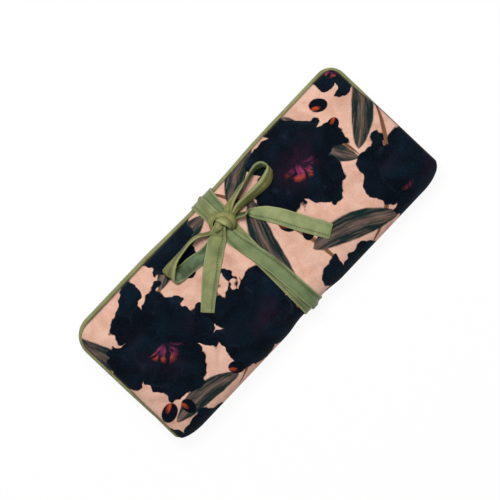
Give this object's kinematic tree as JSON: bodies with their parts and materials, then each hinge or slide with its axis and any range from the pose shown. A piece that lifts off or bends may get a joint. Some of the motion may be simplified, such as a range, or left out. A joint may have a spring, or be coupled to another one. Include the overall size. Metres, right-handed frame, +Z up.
{
  "type": "jewelry roll",
  "caption": "Padded velvet jewellery roll, folded shut and tied with a fabric strap, with zipped pockets and a ring bar inside.",
  "frame": {"origin": "middle of the closed roll's length and width, on the surface that its back panel lies on", "axes": "+X along the roll, +Y from the fold to the open edge, +Z up through the closed roll"},
  "size_m": [0.26, 0.107, 0.04],
  "materials": {
    "velvet": "matte",
    "foam": "matte",
    "sateen": "matte",
    "piping": "matte",
    "lining": "matte",
    "zip_tape": "matte",
    "zip_nylon": "satin",
    "gilt": "satin"
  },
  "bodies": {
    "back": {"back_cover": "velvet", "back_padding": "foam", "back_lining": "lining", "back_piping": "piping", "lower_pocket_panel": "lining", "upper_pocket_panel": "lining", "pocket_top_band": "lining", "lower_zip_tape_near": "zip_tape", "lower_zip_tape_far": "zip_tape", "lower_zip_coil_near": "zip_nylon", "lower_zip_coil_far": "zip_nylon", "lower_zip_stop_bottom": "gilt", "lower_zip_stop_top": "gilt", "upper_zip_tape_near": "zip_tape", "upper_zip_tape_far": "zip_tape", "upper_zip_coil_near": "zip_nylon", "upper_zip_coil_far": "zip_nylon", "upper_zip_stop_bottom": "gilt", "upper_zip_stop_top": "gilt"},
    "spine": {"spine_cover": "velvet", "spine_padding": "foam", "spine_lining": "lining", "spine_piping_left": "piping", "spine_piping_right": "piping"},
    "flap": {"flap_cover": "velvet", "flap_padding": "foam", "flap_lining": "lining", "flap_piping": "piping", "slip_pocket_panel": "lining", "slip_pocket_binding": "piping", "ring_bar_patch": "lining", "snap_stud": "gilt"},
    "ring_bar": {"ring_bar_cushion": "lining", "ring_bar_tongue": "lining", "snap_socket": "gilt"},
    "lower_slider": {"lower_zip_slider": "gilt"},
    "lower_pull": {"lower_zip_pull": "gilt"},
    "upper_slider": {"upper_zip_slider": "gilt"},
    "upper_pull": {"upper_zip_pull": "gilt"},
    "tie": {"tie_turn_first": "sateen", "tie_turn_second": "sateen", "tie_knot": "sateen", "tie_crossing": "sateen", "tie_loop_upper": "sateen", "tie_loop_lower": "sateen", "tie_tail_right": "sateen", "tie_tail_lower": "sateen"}
  },
  "joints": [
    {"name": "spine_fold", "type": "hinge", "parent": "back", "child": "spine", "pos_m": [0, -0.04911, 0.00439], "axis": [1, 0, 0], "range_deg": [0, 90]},
    {"name": "flap_fold", "type": "hinge", "parent": "spine", "child": "flap", "pos_m": [0, -0.04911, 0.02561], "axis": [1, 0, 0], "range_deg": [0, 90]},
    {"name": "ring_bar_swing", "type": "hinge", "parent": "flap", "child": "ring_bar", "pos_m": [-0.06065, -0.019, 0.018], "axis": [0, 0, 1], "range_deg": [0, 22]},
    {"name": "lower_zip_run", "type": "slide", "parent": "back", "child": "lower_slider", "axis": [-1, 0, 0], "range_m": [0, 0.18]},
    {"name": "lower_pull_turn", "type": "hinge", "parent": "lower_slider", "child": "lower_pull", "pos_m": [0.09075, -0.00656, 0.01015], "axis": [0, 1, 0], "range_deg": [0, 180]},
    {"name": "upper_zip_run", "type": "slide", "parent": "back", "child": "upper_slider", "axis": [-1, 0, 0], "range_m": [0, 0.18]},
    {"name": "upper_pull_turn", "type": "hinge", "parent": "upper_slider", "child": "upper_pull", "pos_m": [0.09075, 0.0242, 0.01015], "axis": [0, 1, 0], "range_deg": [0, 180]},
    {"name": "tie_off", "type": "slide", "parent": "back", "child": "tie", "axis": [1, 0, 0], "range_m": [0, 0.19], "deforming": ["tie_turn_first", "tie_turn_second", "tie_knot", "tie_crossing", "tie_loop_upper", "tie_loop_lower", "tie_tail_right", "tie_tail_lower"]}
  ],
  "couplings": [
    {"joint": "flap_fold", "follows": "spine_fold", "ratio": 1},
    {"joint": "tie_off", "follows": "spine_fold", "m_per_rad": 0.1203}
  ]
}
